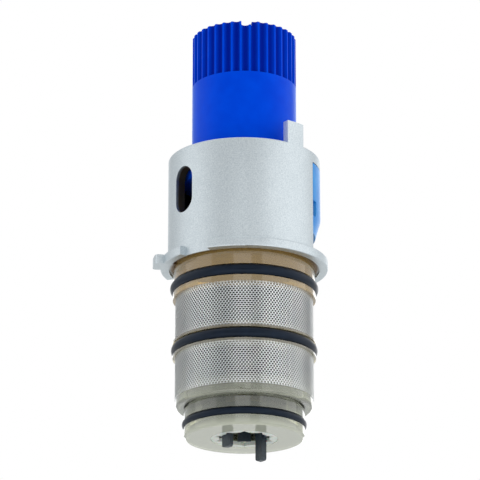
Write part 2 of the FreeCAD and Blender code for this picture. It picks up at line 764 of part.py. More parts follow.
def build_screen(label, low, high):
    """Perforated sleeve over one ring of inlet ports, its fine mesh drawn coarse."""
    body = new_body(label)
    turned(body, f"{label}_sleeve", rectangle("screen_seat_radius", "screen_radius", low, high))
    middle = f"({low} + {high}) / 2"
    most = int(number(f"(({high} - {low}) / 2 - mesh_half_height - mesh_rim) / mesh_row_pitch"))
    for name, first, turn in (("Straight", most % 2 - most, "0"),
                              ("Shifted", (most + 1) % 2 - most, "180 / mesh_columns")):
        sketch = flat_sketch(body, f"{label}_{name}Sketch", "XZ_Plane", turn=turn, lift="channel_radius")
        for row in range(first, most + 1, 2):
            height = f"{middle} + {row} * mesh_row_pitch"
            add_outline(sketch, [
                ("-mesh_half_width", height),
                ("0", f"{height} - mesh_half_height"),
                ("mesh_half_width", height),
                ("0", f"{height} + mesh_half_height"),
            ])
        cut = pocket(body, f"{label}_{name}Hole", sketch, "channel_radius")
        ringed(body, f"{label}_{name}Holes", cut, "mesh_columns")
    return body


def build_end_cap():
    """Screwed-in outlet neck that carries the hot seat and the lower seal."""
    body = new_body("end_cap")
    half = "(cap_seal_section / 2 + groove_gap)"
    groove = "cap_seal_radius - cap_seal_section - groove_gap"
    turned(body, "CapBody", [
        ("outlet_radius", "bottom_height"),
        ("neck_radius - bottom_chamfer", "bottom_height"),
        ("neck_radius", "bottom_height + bottom_chamfer"),
        ("neck_radius", f"cap_seal_height - {half}"),
        (groove, f"cap_seal_height - {half}"),
        (groove, f"cap_seal_height + {half}"),
        ("neck_radius", f"cap_seal_height + {half}"),
        ("neck_radius", "lower_lip_bottom - neck_relief"),
        ("cap_thread_radius", "lower_lip_bottom - neck_relief"),
        ("cap_thread_radius - turning_gap", "lower_lip_bottom"),
        ("cap_thread_radius - turning_gap", "cap_thread_top"),
        ("slide_bore", "cap_thread_top"),
        ("slide_bore", "hot_seat"),
        ("cap_bore", "hot_seat"),
        ("cap_bore", "outlet_ledge"),
        ("outlet_radius", "outlet_ledge"),
    ])
    return body


def build_control_slide():
    """Sleeve that shuttles between the cold and the hot seat, with a spoked hub."""
    body = new_body("control_slide")
    outer = "slide_bore - turning_gap"
    groove = "slide_bore - 2 * groove_gap - slide_seal_section"
    half = "(slide_seal_section / 2 + groove_gap)"
    turned(body, "SlideSleeve", [
        ("slide_bore_radius", "slide_bottom"),
        (outer, "slide_bottom"),
        (outer, f"slide_seal_height - {half}"),
        (groove, f"slide_seal_height - {half}"),
        (groove, f"slide_seal_height + {half}"),
        (outer, f"slide_seal_height + {half}"),
        (outer, "slide_top"),
        ("slide_bore_radius", "slide_top"),
    ])
    turned(body, "SlideHub",
           rectangle("capsule_cup_radius + capsule_gap", "slide_bore_radius + slide_wall / 2",
                     "hub_bottom", "hub_top"))
    flow = turned(body, "FlowOpening",
                  rectangle("hub_radius", "slide_bore_radius - flow_margin", "hub_bottom - hub_thickness",
                            "hub_top + hub_thickness"),
                  kind="Groove", start="spoke_sweep / 2", sweep="360 / spoke_count - spoke_sweep")
    ringed(body, "FlowOpenings", flow, "spoke_count")
    return body


def build_wax_capsule():
    """Crimped brass capsule with its guide neck and the bore for the piston."""
    body = new_body("wax_capsule")
    bore = "piston_radius + piston_gap"
    turned(body, "CapsuleBody", [
        ("0", "capsule_bottom"),
        ("capsule_cup_radius - capsule_gap", "capsule_bottom"),
        ("capsule_cup_radius", "capsule_bottom + 2 * capsule_gap"),
        ("capsule_cup_radius", "hub_top"),
        ("capsule_flange_radius", "hub_top"),
        ("capsule_flange_radius", "capsule_flange_top"),
        ("capsule_neck_radius", "capsule_flange_top"),
        ("capsule_neck_radius", "capsule_neck_top"),
        (bore, "capsule_neck_top"),
        (bore, "piston_bore_bottom"),
        ("0", "piston_bore_bottom"),
    ])
    return body


def build_flow_spider():
    """Dark moulded ring under the return spring, with legs and two grip tabs."""
    body = new_body("flow_spider")
    turned(body, "SpiderRing", rectangle("leg_inner_radius", "spider_radius", "outlet_ledge", "spider_top"))
    opening = turned(body, "SpiderOpening",
                     rectangle("leg_outer_radius", "outlet_radius", "leg_bottom",
                               "spider_top + spider_thickness"),
                     kind="Groove", start="leg_sweep / 2", sweep="360 / leg_count - leg_sweep")
    ringed(body, "SpiderOpenings", opening, "leg_count")
    leg = turned(body, "SpiderLeg",
                 rectangle("leg_inner_radius", "leg_outer_radius", "leg_bottom", "spider_top"),
                 start="-leg_sweep / 2", sweep="leg_sweep")
    ringed(body, "SpiderLegs", leg, "leg_count")
    for name, angle, bottom in (("ShortTab", "short_tab_angle", "short_tab_bottom"),
                                ("LongTab", "long_tab_angle", "long_tab_bottom")):
        turned(body, name, rectangle("tab_inner_radius", "tab_outer_radius", bottom, "spider_top"),
               start=f"{angle} - tab_half_sweep", sweep="2 * tab_half_sweep")
        corner = number(bottom)
        softened(body, f"{name}Corners", "Fillet",
                 "min(tab_round; tab_inner_radius * sin(tab_half_sweep) - tab_flat)",
                 lambda edge: isinstance(edge.Curve, Part.Line) and edge.BoundBox.ZMax < corner + CLOSE)
    return body


def build_outlet_ring():
    """Flat toothed ring pressed into the outlet to hold the spider."""
    body = new_body("outlet_ring")
    turned(body, "RingDisc",
           rectangle("outlet_ring_bore", "outlet_radius - outlet_ring_gap", "outlet_ring_bottom",
                     "outlet_ring_top"))
    notch = flat_sketch(body, "ToothNotchSketch", "XY_Plane", lift="outlet_ring_top")
    add_outline(notch, [
        ("-tooth_notch_half_width", "-outlet_ring_bore + tooth_notch_depth"),
        ("-tooth_notch_half_width", "-outlet_ring_bore"),
        ("0", "-outlet_ring_bore - tooth_notch_depth"),
        ("tooth_notch_half_width", "-outlet_ring_bore"),
        ("tooth_notch_half_width", "-outlet_ring_bore + tooth_notch_depth"),
    ])
    cut = pocket(body, "ToothNotch", notch, "outlet_ring_thickness", outward=False)
    ringed(body, "ToothNotches", cut, "tooth_count")
    return body


def build_capsule_piston():
    """Steel pin between the wax capsule and the plunger."""
    pin = doc.addObject("Part::Cylinder", "capsule_piston")
    pin.Label = "capsule_piston"
    bind(pin, "Radius", "piston_radius")
    bind(pin, "Height", "piston_length")
    bind(pin, "Placement.Base.z", "plunger_bottom - piston_length")
    return pin


def build_nodes():
    """Make every piece, from the handle end down."""
    return [
        build_temperature_spindle(),
        build_handle_insert(),
        plain_ring("thrust_washer", "knob_radius + turning_gap", "spindle_flange_radius",
                   "spindle_flange_top", "washer_top"),
        build_housing(),
        build_regulating_nut(),
        plain_ring("spring_retainer", "circlip_inner_radius", "nut_bore + circlip_groove_depth / 2",
                   "circlip_bottom", "circlip_top"),
        coil_spring("overtravel_spring", "overtravel_coil_radius", "overtravel_wire", "overtravel_pitch",
                    "collar_top + spring_end_gap", "nut_top - nut_roof - spring_end_gap"),
        build_overtravel_plunger(),
        plain_ring("seal_retainer", "plunger_radius + turning_gap", "seal_well_radius",
                   "retainer_bottom", "roof_top"),
        o_ring("plunger_seal", "seal_well_radius - groove_gap", "plunger_seal_section",
               "seal_well_bottom + plunger_seal_section / 2"),
        build_cartridge_body(),
        o_ring("upper_body_seal", "upper_seal_radius", "seal_section", "upper_seal_height"),
        o_ring("middle_body_seal", "middle_seal_radius", "seal_section", "middle_seal_height"),
        build_screen("cold_screen", "cold_screen_bottom", "cold_screen_top"),
        build_screen("hot_screen", "lower_lip_top", "hot_screen_top"),
        build_wax_capsule(),
        build_capsule_piston(),
        build_control_slide(),
        o_ring("slide_seal", "slide_bore - groove_gap", "slide_seal_section", "slide_seal_height"),
        coil_spring("return_spring", "return_coil_radius", "return_wire", "return_pitch",
                    "spider_top + spring_end_gap", "hub_bottom - spring_end_gap"),
        build_end_cap(),
        o_ring("end_cap_seal", "cap_seal_radius", "cap_seal_section", "cap_seal_height"),
        build_flow_spider(),
        build_outlet_ring(),
    ]


def check(nodes):
    """Stop if any object failed or any piece has no sound solid."""
    failed = [item.Name for item in doc.Objects if {"Invalid", "Error"} & set(item.State)]
    if failed:
        raise RuntimeError(f"these objects failed: {failed}")
    for node in nodes:
        if node.Shape.isNull() or not node.Shape.isValid() or not node.Shape.Solids:
            raise RuntimeError(f"{node.Label} has no sound solid")


nodes = build_nodes()
doc.recompute()
check(nodes)
os.makedirs(NODE_FOLDER, exist_ok=True)
for node in nodes:
    node.Shape.exportStep(f"{NODE_FOLDER}/{node.Label}.step")
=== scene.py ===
import json
import math

import bmesh
import bpy
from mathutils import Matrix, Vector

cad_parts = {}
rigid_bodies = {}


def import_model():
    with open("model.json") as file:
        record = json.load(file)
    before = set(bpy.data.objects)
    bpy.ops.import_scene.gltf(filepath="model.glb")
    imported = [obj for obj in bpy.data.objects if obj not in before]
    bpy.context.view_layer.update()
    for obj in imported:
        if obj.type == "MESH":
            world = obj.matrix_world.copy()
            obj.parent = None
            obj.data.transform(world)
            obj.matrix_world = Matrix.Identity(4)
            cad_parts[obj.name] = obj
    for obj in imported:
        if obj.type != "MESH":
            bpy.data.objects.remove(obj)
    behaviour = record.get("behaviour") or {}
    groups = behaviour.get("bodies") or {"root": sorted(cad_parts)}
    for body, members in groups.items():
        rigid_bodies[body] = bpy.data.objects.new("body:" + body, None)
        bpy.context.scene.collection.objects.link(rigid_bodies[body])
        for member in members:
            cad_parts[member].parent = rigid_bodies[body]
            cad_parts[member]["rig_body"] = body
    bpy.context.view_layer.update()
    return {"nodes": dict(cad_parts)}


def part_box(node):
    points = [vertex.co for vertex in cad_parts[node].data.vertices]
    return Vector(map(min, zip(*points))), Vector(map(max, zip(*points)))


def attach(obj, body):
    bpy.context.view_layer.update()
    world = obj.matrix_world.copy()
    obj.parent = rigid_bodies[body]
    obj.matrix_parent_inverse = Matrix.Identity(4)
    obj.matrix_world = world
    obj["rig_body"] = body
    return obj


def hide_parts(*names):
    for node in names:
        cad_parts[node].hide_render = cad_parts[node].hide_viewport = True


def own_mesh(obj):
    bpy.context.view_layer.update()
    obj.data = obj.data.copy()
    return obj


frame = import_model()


# ---- Studio ----------------------------------------------------------------------------------------------------------
# White surroundings with two tall softboxes left and right, a wider one above, one in front and one behind, and light
# thrown back up from a pale table. The camera stands low and looks up through a long lens, so the underside shows.
scene = bpy.context.scene
scene.view_settings.view_transform = "Standard"

camera = bpy.data.objects.new("Camera", bpy.data.cameras.new("Camera"))
scene.collection.objects.link(camera)
camera.data.sensor_width = 36.0
camera.data.lens = 226.8
camera.data.clip_start, camera.data.clip_end = 0.01, 20.0
camera.location = (-0.0010, -0.6815, -0.218)
camera.rotation_euler = (math.radians(90 + 18.33), 0, 0)
scene.camera = camera


def linear(hex_colour):
    """The linear RGBA of an sRGB hex colour."""
    parts = [int(hex_colour[i:i + 2], 16) / 255 for i in (1, 3, 5)]
    return (*[c / 12.92 if c <= 0.04045 else ((c + 0.055) / 1.055) ** 2.4 for c in parts], 1.0)


def add(tree, kind, inputs=None, **settings):
    """One node with its settings, and its inputs given as values or as the outputs of other nodes."""
    made = tree.nodes.new(kind)
    for name, value in settings.items():
        setattr(made, name, value)
    for socket, value in (inputs or {}).items():
        if isinstance(value, bpy.types.NodeSocket):
            tree.links.new(value, made.inputs[socket])
        else:
            made.inputs[socket].default_value = value
    return made


def softbox(name, place, aim, size, watts, colour="#FFFFFF"):
    """A rectangular studio light at place that looks at aim, both in metres."""
    light = bpy.data.lights.new(name, "AREA")
    light.shape = "RECTANGLE"
    light.size, light.size_y = size
    light.energy = watts
    light.color = linear(colour)[:3]
    lamp = bpy.data.objects.new(name, light)
    scene.collection.objects.link(lamp)
    lamp.location = place
    away = [a - p for a, p in zip(aim, place)]
    flat = math.hypot(away[0], away[1])
    lamp.rotation_euler = (math.atan2(flat, -away[2]), 0, math.atan2(away[1], away[0]) - math.pi / 2)
    return lamp


softbox("Softbox_left", (-0.60, -0.10, 0.10), (0, 0, 0.01), (0.60, 0.90), 0.7)
softbox("Softbox_right", (0.62, -0.20, 0.08), (0, 0, 0.01), (1.20, 0.90), 1.8)
softbox("Softbox_top", (0.0, 0.05, 0.75), (0, 0, 0.0), (0.70, 0.50), 0.8)
softbox("Softbox_front", (-0.05, -0.95, 0.35), (0, 0, 0.01), (0.50, 0.35), 0.3)
softbox("Table_bounce", (0.0, -0.25, -0.285), (0, 0.0, 0.0), (0.80, 0.60), 0.8)
softbox("Softbox_behind", (0.10, 0.80, 0.20), (0, 0, 0.0), (0.80, 0.60), 1.6)

world = bpy.data.worlds.new("Studio_white")
scene.world = world
world.use_nodes = True
tree = world.node_tree
tree.nodes.clear()
seen = add(tree, "ShaderNodeLightPath")
walls = add(tree, "ShaderNodeBackground", {"Color": linear("#F8FAFB"), "Strength": 0.66})
backdrop = add(tree, "ShaderNodeBackground", {"Color": linear("#FFFFFF"), "Strength": 1.0})
both = add(tree, "ShaderNodeMixShader", {0: seen.outputs["Is Camera Ray"], 1: walls.outputs[0], 2: backdrop.outputs[0]})
add(tree, "ShaderNodeOutputWorld", {"Surface": both.outputs[0]})


def new_material(name):
    """A material with an empty node tree."""
    made = bpy.data.materials.new(name)
    made.use_nodes = True
    made.node_tree.nodes.clear()
    return made


def staged(name, corners, material):
    """A flat sheet of the studio, which is no part of the object."""
    sheet = bpy.data.objects.new(name, bpy.data.meshes.new(name))
    sheet.data.from_pydata(corners, [], [(0, 1, 2, 3)])
    sheet.data.materials.append(material)
    scene.collection.objects.link(sheet)
    return sheet


# The table: matt laminate, nearly white, with the faintest mottle.
TABLE_HALF, TABLE_HEIGHT = 3.0, -0.30
laminate = new_material("Laminate_matt_white")
tree = laminate.node_tree
place = add(tree, "ShaderNodeTexCoord")
mottle = add(tree, "ShaderNodeTexNoise", {"Vector": place.outputs["Object"], "Scale": 14.0, "Detail": 3.0})
tone = add(tree, "ShaderNodeValToRGB", {"Fac": mottle.outputs["Fac"]})
tone.color_ramp.elements[0].color = linear("#EDEDEC")
tone.color_ramp.elements[1].color = linear("#F4F4F3")
shader = add(tree, "ShaderNodeBsdfPrincipled", {"Base Color": tone.outputs["Color"], "Roughness": 0.75})
add(tree, "ShaderNodeOutputMaterial", {"Surface": shader.outputs["BSDF"]})
staged("Table", [(x * TABLE_HALF, y * TABLE_HALF, TABLE_HEIGHT) for x, y in ((-1, -1), (1, -1), (1, 1), (-1, 1))],
       laminate)

# A black cloth flag behind the camera, which the shiny pieces mirror as a darker line down the front. It is kept from
# the camera's own sight, so that it does not stand behind the part in a view from the back.
FLAG_LEFT, FLAG_RIGHT, FLAG_LOW, FLAG_HIGH, FLAG_BACK = -0.12, 0.18, -0.29, 0.06, -0.80
black_cloth = new_material("Black_cloth")
tree = black_cloth.node_tree
place = add(tree, "ShaderNodeTexCoord")
folds = add(tree, "ShaderNodeTexNoise", {"Vector": place.outputs["Object"], "Scale": 9.0, "Detail": 2.0})
tone = add(tree, "ShaderNodeValToRGB", {"Fac": folds.outputs["Fac"]})
tone.color_ramp.elements[0].color = linear("#0D0E10")
tone.color_ramp.elements[1].color = linear("#26292C")
shader = add(tree, "ShaderNodeBsdfPrincipled", {"Base Color": tone.outputs["Color"], "Roughness": 0.9})
add(tree, "ShaderNodeOutputMaterial", {"Surface": shader.outputs["BSDF"]})
flag = staged("Black_flag", [(FLAG_LEFT, FLAG_BACK, FLAG_LOW), (FLAG_RIGHT, FLAG_BACK, FLAG_LOW),
                             (FLAG_RIGHT, FLAG_BACK, FLAG_HIGH), (FLAG_LEFT, FLAG_BACK, FLAG_HIGH)], black_cloth)
flag.visible_camera = False


# ---- Housing ---------------------------------------------------------------------------------------------------------
# The barrel that holds the whole cartridge: zinc die-cast in one piece with its flange, ear, lug and window frames,
# trimmed, turned at the flange and tumbled, so its skin is satin and very finely speckled.
def height_and_radius(tree, place):
    """The outputs that give how high a point of the surface lies, and how far from the axis, both in metres."""
    parts = add(tree, "ShaderNodeSeparateXYZ", {"Vector": place.outputs["Object"]})
    level = add(tree, "ShaderNodeCombineXYZ", {"X": parts.outputs["X"], "Y": parts.outputs["Y"]})
    across = add(tree, "ShaderNodeVectorMath", {0: level.outputs["Vector"]}, operation="LENGTH")
    return parts.outputs["Z"], across.outputs["Value"]


zinc = new_material("Zinc_die_cast_satin")
tree = zinc.node_tree
place = add(tree, "ShaderNodeTexCoord")
# Casting grain, about 0.25 mm across, and a slower cloudiness of about 3 mm.
grain = add(tree, "ShaderNodeTexNoise", {"Vector": place.outputs["Object"], "Scale": 4000.0, "Detail": 2.0})
cloud = add(tree, "ShaderNodeTexNoise", {"Vector": place.outputs["Object"], "Scale": 330.0, "Detail": 3.0})
tone = add(tree, "ShaderNodeValToRGB", {"Fac": grain.outputs["Fac"]})
tone.color_ramp.elements[0].position, tone.color_ramp.elements[0].color = 0.25, linear("#C2CCD2")
tone.color_ramp.elements[1].position, tone.color_ramp.elements[1].color = 0.75, linear("#E2E9EC")
# Painted shade in the bore: within 17.7 mm of the axis and under the top edge, the satin tone is darkened to a brown
# grey.
height, radius = height_and_radius(tree, place)
inside = add(tree, "ShaderNodeMapRange", {"Value": radius, "From Min": 0.0172, "From Max": 0.0179,
                                         "To Min": 1.0, "To Max": 0.0})
under_edge = add(tree, "ShaderNodeMapRange", {"Value": height, "From Min": 0.0258, "From Max": 0.0266,
                                             "To Min": 1.0, "To Max": 0.0})
painted_bore_shade = add(tree, "ShaderNodeMath", {0: inside.outputs["Result"], 1: under_edge.outputs["Result"]},
            operation="MULTIPLY")
bore_shaded_tone = add(tree, "ShaderNodeMix", {"Factor": painted_bore_shade.outputs["Value"], 6: tone.outputs["Color"],
                                       7: linear("#7A6650")}, data_type="RGBA")
dull = add(tree, "ShaderNodeMapRange", {"Value": cloud.outputs["Fac"], "From Min": 0.3, "From Max": 0.7,
                                       "To Min": 0.40, "To Max": 0.50})
rough_skin = add(tree, "ShaderNodeBump", {"Height": grain.outputs["Fac"], "Strength": 0.35, "Distance": 0.00006})
shader = add(tree, "ShaderNodeBsdfPrincipled", {"Base Color": bore_shaded_tone.outputs[2], "Metallic": 1.0,
                                               "Roughness": dull.outputs["Result"],
                                               "Normal": rough_skin.outputs["Normal"]})
add(tree, "ShaderNodeOutputMaterial", {"Surface": shader.outputs["BSDF"]})


def dressed(node, piece_name, material, sharp=28):
    """A CAD node's own shape as one joined, smooth-shaded piece that rides on the node's body and stands for it."""
    source = frame["nodes"][node]
    piece = bpy.data.objects.new(piece_name, source.data.copy())
    scene.collection.objects.link(piece)
    form = bmesh.new()
    form.from_mesh(piece.data)
    bmesh.ops.remove_doubles(form, verts=form.verts, dist=1e-6)
    form.to_mesh(piece.data)
    form.free()
    if "custom_normal" in piece.data.attributes:
        piece.data.attributes.remove(piece.data.attributes["custom_normal"])
    piece.data.shade_smooth()
    piece.data.set_sharp_from_angle(angle=math.radians(sharp))
    piece.data.materials.clear()
    piece.data.materials.append(material)
    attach(piece, source["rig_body"])
    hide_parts(node)
    return piece


dressed("housing", "housing_casting", zinc)


# ---- Temperature spindle ---------------------------------------------------------------------------------------------
# The blue handle seat and shaft, injection moulded in acetal in one piece, with flutes for the handle. The mould's
# steel is sparked, so the plastic is softly glossy. A brass bush for the handle's screw is pressed into its top.
blue_acetal = new_material("Acetal_blue_moulded")
tree = blue_acetal.node_tree
place = add(tree, "ShaderNodeTexCoord")
# Flow marks from the mould, some 4 mm long, change the blue very little; the sparked skin is about 0.15 mm fine.
flow = add(tree, "ShaderNodeTexNoise", {"Vector": place.outputs["Object"], "Scale": 240.0, "Detail": 2.0})
skin = add(tree, "ShaderNodeTexNoise", {"Vector": place.outputs["Object"], "Scale": 6500.0, "Detail": 1.0})
tone = add(tree, "ShaderNodeValToRGB", {"Fac": flow.outputs["Fac"]})
tone.color_ramp.elements[0].position, tone.color_ramp.elements[0].color = 0.3, linear("#0044DE")
tone.color_ramp.elements[1].position, tone.color_ramp.elements[1].color = 0.7, linear("#004BE6")
# Painted shade in the flutes: towards their bottoms, 0.85 mm down, the blue is darkened.
radius = height_and_radius(tree, place)[1]
flute_shade = add(tree, "ShaderNodeMapRange", {"Value": radius, "From Min": 0.01168, "From Max": 0.01240,
                                         "To Min": 1.0, "To Max": 0.0})
flute_shaded_tone = add(tree, "ShaderNodeMix", {"Factor": flute_shade.outputs["Result"], 6: tone.outputs["Color"],
                                       7: linear("#001F9E")}, data_type="RGBA")
sparked = add(tree, "ShaderNodeBump", {"Height": skin.outputs["Fac"], "Strength": 0.15, "Distance": 0.00003})
shader = add(tree, "ShaderNodeBsdfPrincipled", {"Base Color": flute_shaded_tone.outputs[2], "Roughness": 0.34, "IOR": 1.48,
                                               "Specular IOR Level": 0.12, "Specular Tint": linear("#2E7CF4"),
                                               "Sheen Weight": 0.50, "Sheen Roughness": 0.35,
                                               "Sheen Tint": linear("#0AA8FF"),
                                               "Normal": sparked.outputs["Normal"]})
add(tree, "ShaderNodeOutputMaterial", {"Surface": shader.outputs["BSDF"]})
dressed("temperature_spindle", "spindle_moulding", blue_acetal)

brass = new_material("Brass_turned")
tree = brass.node_tree
place = add(tree, "ShaderNodeTexCoord")
# Turning marks 0.12 mm apart, as rings about the axis.
rings = add(tree, "ShaderNodeTexWave", {"Vector": place.outputs["Object"], "Scale": 1300.0, "Distortion": 0.6},
            wave_type="BANDS", bands_direction="Z")
tone = add(tree, "ShaderNodeValToRGB", {"Fac": rings.outputs["Fac"]})
tone.color_ramp.elements[0].color = linear("#C9A55C")
tone.color_ramp.elements[1].color = linear("#D9B96E")
cut = add(tree, "ShaderNodeBump", {"Height": rings.outputs["Fac"], "Strength": 0.2, "Distance": 0.00002})
shader = add(tree, "ShaderNodeBsdfPrincipled", {"Base Color": tone.outputs["Color"], "Metallic": 1.0,
                                               "Roughness": 0.28, "Normal": cut.outputs["Normal"]})
add(tree, "ShaderNodeOutputMaterial", {"Surface": shader.outputs["BSDF"]})
dressed("handle_insert", "handle_screw_bush", brass)

# Punched from glass-filled PTFE sheet, dull and warm grey with short fibres of about 0.5 mm.
ptfe = new_material("PTFE_sheet_filled")
tree = ptfe.node_tree
place = add(tree, "ShaderNodeTexCoord")
fibres = add(tree, "ShaderNodeTexNoise", {"Vector": place.outputs["Object"], "Scale": 2000.0, "Detail": 4.0})
tone = add(tree, "ShaderNodeValToRGB", {"Fac": fibres.outputs["Fac"]})
tone.color_ramp.elements[0].position, tone.color_ramp.elements[0].color = 0.35, linear("#A8A69D")
tone.color_ramp.elements[1].position, tone.color_ramp.elements[1].color = 0.70, linear("#CFCDC4")
shader = add(tree, "ShaderNodeBsdfPrincipled", {"Base Color": tone.outputs["Color"], "Roughness": 0.55, "IOR": 1.35})
add(tree, "ShaderNodeOutputMaterial", {"Surface": shader.outputs["BSDF"]})
dressed("thrust_washer", "spindle_washer", ptfe)


# ---- Regulating nut --------------------------------------------------------------------------------------------------
# The blue nut that climbs the spindle's thread. Its tongue fills the housing's slot and keeps it from turning. It is
# moulded in the spindle's blue acetal, painted a lighter blue here for the light on its tongue, and holds the
# overtravel spring, its retainer and the plunger.
lit_blue_acetal = new_material("Acetal_blue_painted_lit")
tree = lit_blue_acetal.node_tree
place = add(tree, "ShaderNodeTexCoord")
flow = add(tree, "ShaderNodeTexNoise", {"Vector": place.outputs["Object"], "Scale": 260.0, "Detail": 2.0})
skin = add(tree, "ShaderNodeTexNoise", {"Vector": place.outputs["Object"], "Scale": 6500.0, "Detail": 1.0})
# Painted light: the lighter cyan blue stands for the strong light that falls on the nut's tongue.
tone = add(tree, "ShaderNodeValToRGB", {"Fac": flow.outputs["Fac"]})
tone.color_ramp.elements[0].position, tone.color_ramp.elements[0].color = 0.3, linear("#1788DC")
tone.color_ramp.elements[1].position, tone.color_ramp.elements[1].color = 0.7, linear("#2498E6")
sparked = add(tree, "ShaderNodeBump", {"Height": skin.outputs["Fac"], "Strength": 0.15, "Distance": 0.00003})
shader = add(tree, "ShaderNodeBsdfPrincipled", {"Base Color": tone.outputs["Color"], "Roughness": 0.36, "IOR": 1.48,
                                               "Normal": sparked.outputs["Normal"]})
add(tree, "ShaderNodeOutputMaterial", {"Surface": shader.outputs["BSDF"]})
dressed("regulating_nut", "regulating_nut_moulding", lit_blue_acetal)

steel = new_material("Spring_steel_drawn")
tree = steel.node_tree
place = add(tree, "ShaderNodeTexCoord")
# Die marks of drawn stainless wire, about 0.1 mm apart, over a grey that varies by some 2 mm.
die_marks = add(tree, "ShaderNodeTexNoise", {"Vector": place.outputs["Object"], "Scale": 9000.0, "Detail": 1.0})
patches = add(tree, "ShaderNodeTexNoise", {"Vector": place.outputs["Object"], "Scale": 500.0, "Detail": 2.0})
tone = add(tree, "ShaderNodeValToRGB", {"Fac": patches.outputs["Fac"]})
tone.color_ramp.elements[0].color = linear("#9A9DA0")
tone.color_ramp.elements[1].color = linear("#C6C9CB")
drawn = add(tree, "ShaderNodeBump", {"Height": die_marks.outputs["Fac"], "Strength": 0.1, "Distance": 0.00002})
shader = add(tree, "ShaderNodeBsdfPrincipled", {"Base Color": tone.outputs["Color"], "Metallic": 1.0,
                                               "Roughness": 0.25, "Normal": drawn.outputs["Normal"]})
add(tree, "ShaderNodeOutputMaterial", {"Surface": shader.outputs["BSDF"]})
# Each coil spring gets a mesh of its own, and the heights of its ends are read from its CAD node.
coil = dressed("overtravel_spring", "overtravel_spring_wire", steel, sharp=50)
low, high = (corner.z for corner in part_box("overtravel_spring"))
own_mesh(coil)
coil = dressed("return_spring", "return_spring_wire", steel, sharp=50)
low, high = (corner.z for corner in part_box("return_spring"))
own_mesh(coil)
dressed("spring_retainer", "spring_retainer_ring", steel)
dressed("overtravel_plunger", "overtravel_plunger_turned", brass)


# ---- Clear body ------------------------------------------------------------------------------------------------------
# The lower half is moulded in polysulfone, a clear plastic that stands hot water. It is faintly amber green where it is
# thin and golden where the eye looks along a thick wall. Grooves for the seals and lips for the screens are moulded in.
polysulfone = new_material("Polysulfone_clear_amber")
tree = polysulfone.node_tree
place = add(tree, "ShaderNodeTexCoord")
# Sink and flow waves of about 5 mm, and a mould finish of about 0.3 mm that keeps the clearness a little soft.
waves = add(tree, "ShaderNodeTexNoise", {"Vector": place.outputs["Object"], "Scale": 200.0, "Detail": 2.0})
finish = add(tree, "ShaderNodeTexNoise", {"Vector": place.outputs["Object"], "Scale": 3300.0, "Detail": 2.0})
swell = add(tree, "ShaderNodeBump", {"Height": waves.outputs["Fac"], "Strength": 0.15, "Distance": 0.0002})
satin = add(tree, "ShaderNodeBump", {"Height": finish.outputs["Fac"], "Strength": 0.03, "Distance": 0.00001,
                                    "Normal": swell.outputs["Normal"]})
# The wall is thickest under the flange, where it looks golden, and palest at the foot, where it looks a milky green.
height, radius = height_and_radius(tree, place)
wall = add(tree, "ShaderNodeMapRange", {"Value": height, "From Min": -0.031, "From Max": -0.003,
                                       "To Min": 0.0, "To Max": 1.0})
body_tone = add(tree, "ShaderNodeValToRGB", {"Fac": wall.outputs["Result"]})
body_tone.color_ramp.elements[0].color = linear("#EBEFDA")
body_tone.color_ramp.elements[1].color = linear("#DDB56A")
# Behind the screens the wall is thin; within 15.4 mm of the axis it is painted near black as painted shade, for the
# dark channel seen through the screen's holes.
behind = add(tree, "ShaderNodeMapRange", {"Value": radius, "From Min": 0.0146, "From Max": 0.0154,
                                         "To Min": 1.0, "To Max": 0.0})
above = add(tree, "ShaderNodeMapRange", {"Value": height, "From Min": -0.0300, "From Max": -0.0290,
                                        "To Min": 0.0, "To Max": 1.0})
channel_shade = add(tree, "ShaderNodeMath", {0: behind.outputs["Result"], 1: above.outputs["Result"]}, operation="MULTIPLY")
# The thin neck over the lowest seal is darkened to a grey green too, though less: painted shade for the dark band
# there.
neck = add(tree, "ShaderNodeMapRange", {"Value": height, "From Min": -0.0385, "From Max": -0.0372,
                                       "To Min": 0.0, "To Max": 0.60})
neck_shade = add(tree, "ShaderNodeMath", {0: behind.outputs["Result"], 1: neck.outputs["Result"]}, operation="MULTIPLY")
neck_shaded_tone = add(tree, "ShaderNodeMix", {"Factor": neck_shade.outputs["Value"], 6: body_tone.outputs["Color"],
                                       7: linear("#35403E")}, data_type="RGBA")
channel_shaded_tone = add(tree, "ShaderNodeMix", {"Factor": channel_shade.outputs["Value"], 6: neck_shaded_tone.outputs[2],
                                       7: linear("#050505")}, data_type="RGBA")
# The foot is ground matt and lets less through than the walls above it.
foot = add(tree, "ShaderNodeMapRange", {"Value": height, "From Min": -0.0413, "From Max": -0.0385,
                                       "To Min": 0.40, "To Max": 0.82})
open_wall = add(tree, "ShaderNodeMath", {0: 1.0, 1: channel_shade.outputs["Value"]}, operation="SUBTRACT")
thick = add(tree, "ShaderNodeMapRange", {"Value": height, "From Min": -0.0110, "From Max": -0.0080,
                                        "To Min": 1.0, "To Max": 0.80})
thin_wall = add(tree, "ShaderNodeMath", {0: open_wall.outputs["Value"], 1: thick.outputs["Result"]},
                operation="MULTIPLY")
clearness = add(tree, "ShaderNodeMath", {0: foot.outputs["Result"], 1: thin_wall.outputs["Value"]},
                operation="MULTIPLY")
# The polished outside has a clear gloss that the matt walls behind the screens lack.
skin = add(tree, "ShaderNodeMapRange", {"Value": channel_shade.outputs["Value"], "To Min": 0.06, "To Max": 0.90})
shader = add(tree, "ShaderNodeBsdfPrincipled", {"Base Color": channel_shaded_tone.outputs[2], "IOR": 1.63,
                                               "Roughness": skin.outputs["Result"], "Specular IOR Level": 0.12,
                                               "Coat Weight": open_wall.outputs["Value"], "Coat Roughness": 0.04,
                                               "Coat IOR": 1.6,
                                               "Transmission Weight": clearness.outputs["Value"],
                                               "Normal": satin.outputs["Normal"]})
tint = add(tree, "ShaderNodeVolumeAbsorption", {"Color": linear("#E2DDAE"), "Density": 60.0})
add(tree, "ShaderNodeOutputMaterial", {"Surface": shader.outputs["BSDF"], "Volume": tint.outputs["Volume"]})
dressed("cartridge_body", "clear_body", polysulfone)
dressed("end_cap", "clear_end_cap", polysulfone)


